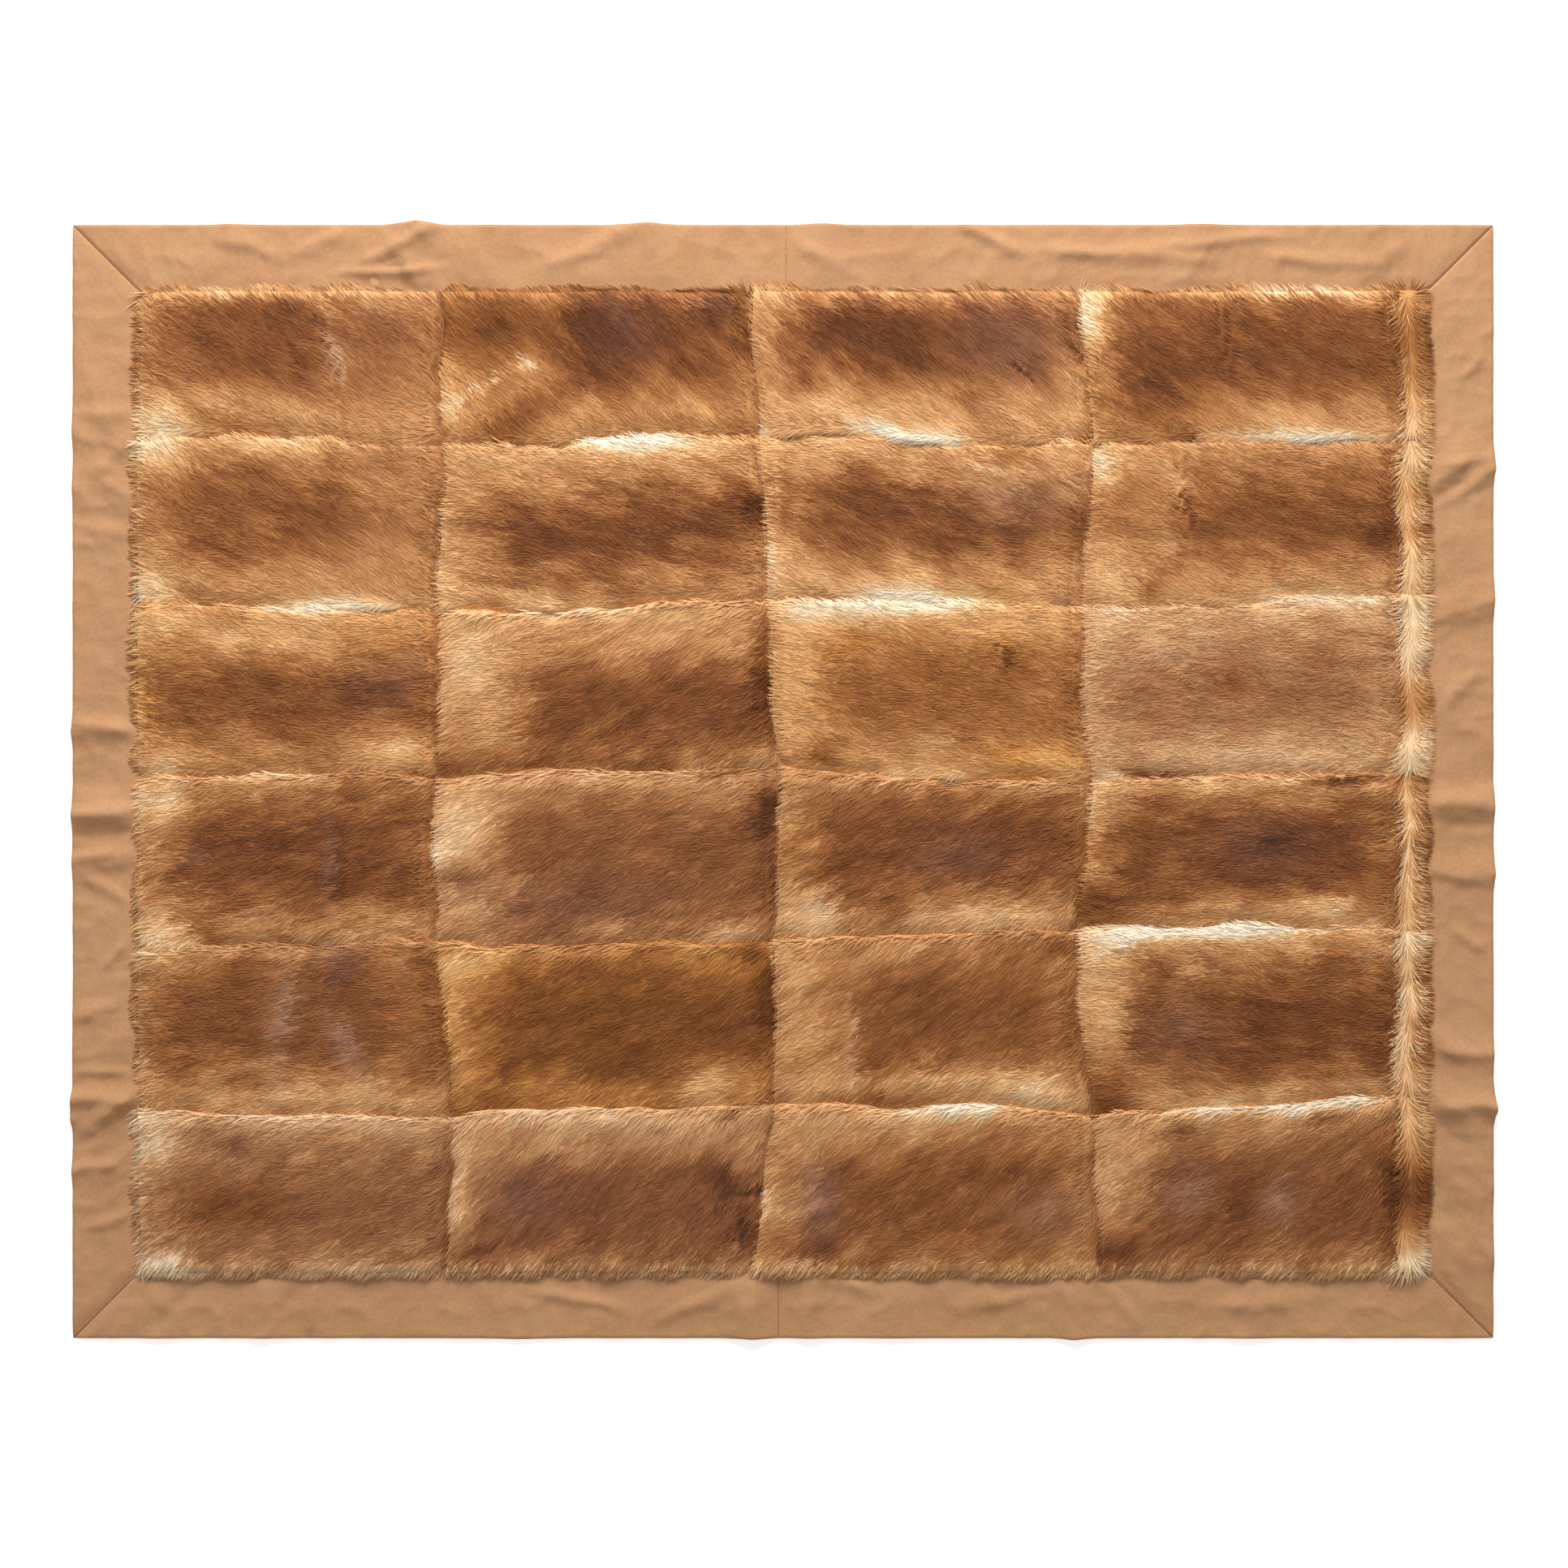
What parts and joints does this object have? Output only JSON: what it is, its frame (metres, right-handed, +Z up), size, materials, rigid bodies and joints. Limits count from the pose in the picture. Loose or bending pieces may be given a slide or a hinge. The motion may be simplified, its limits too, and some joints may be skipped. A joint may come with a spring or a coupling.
{
  "type": "patchwork fur throw",
  "caption": "Patchwork throw of brown fur pelts with dark backs and pale flanks, a narrow strip of longer fur down one edge, and a mitred border of camel wool cloth.",
  "frame": {"origin": "the middle of the underside, where the throw rests", "axes": "+X along the long side, towards the edge with the narrow strip; +Y along the short side, towards the upper edge of the picture; +Z up out of the fur"},
  "size_m": [1.8062, 1.417, 0.0142],
  "materials": {
    "pelt_fur": "natural fur, soft sheen along the hairs",
    "strip_fur": "natural fur, longer and paler",
    "border_cloth": "matt brushed wool cloth"
  },
  "bodies": {
    "root": {"pelt_r1_c1": "pelt_fur", "pelt_r1_c2": "pelt_fur", "pelt_r1_c3": "pelt_fur", "pelt_r1_c4": "pelt_fur", "pelt_r2_c1": "pelt_fur", "pelt_r2_c2": "pelt_fur", "pelt_r2_c3": "pelt_fur", "pelt_r2_c4": "pelt_fur", "pelt_r3_c1": "pelt_fur", "pelt_r3_c2": "pelt_fur", "pelt_r3_c3": "pelt_fur", "pelt_r3_c4": "pelt_fur", "pelt_r4_c1": "pelt_fur", "pelt_r4_c2": "pelt_fur", "pelt_r4_c3": "pelt_fur", "pelt_r4_c4": "pelt_fur", "pelt_r5_c1": "pelt_fur", "pelt_r5_c2": "pelt_fur", "pelt_r5_c3": "pelt_fur", "pelt_r5_c4": "pelt_fur", "pelt_r6_c1": "pelt_fur", "pelt_r6_c2": "pelt_fur", "pelt_r6_c3": "pelt_fur", "pelt_r6_c4": "pelt_fur", "edge_strip_r1": "strip_fur", "edge_strip_r2": "strip_fur", "edge_strip_r3": "strip_fur", "edge_strip_r4": "strip_fur", "edge_strip_r5": "strip_fur", "edge_strip_r6": "strip_fur", "border_left": "border_cloth", "border_right": "border_cloth", "border_top_left": "border_cloth", "border_top_right": "border_cloth", "border_bottom_left": "border_cloth", "border_bottom_right": "border_cloth"}
  },
  "joints": []
}
